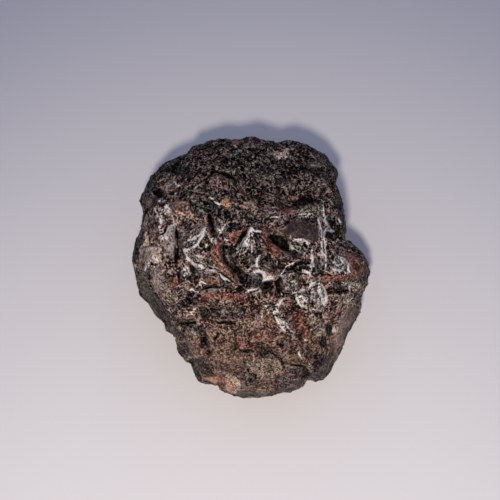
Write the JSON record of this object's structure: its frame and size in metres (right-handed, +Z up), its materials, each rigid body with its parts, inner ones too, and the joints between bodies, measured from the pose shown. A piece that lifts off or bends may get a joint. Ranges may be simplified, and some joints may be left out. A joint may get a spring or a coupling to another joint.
{
  "type": "prophecy stone",
  "caption": "Hand-sized dark iron-oxide nodule covered in crystal blades with rust patches and chalky seams, a display stone that rests on a small flat spot.",
  "frame": {"origin": "middle of the stone's outline box, on the ground that its flat spot rests on", "axes": "+X to the viewer's right and +Y away from the viewer, +Z up from the surface that the stone lies on"},
  "size_m": [0.0473, 0.0527, 0.0378],
  "materials": {
    "iron_oxide_stone": "dark brown-black iron oxide with a dull satin sheen, granular and bladed, with rust and ochre patches and white chalky dust in the seams"
  },
  "bodies": {
    "root": {"prophecy_stone": "iron_oxide_stone"}
  },
  "joints": []
}
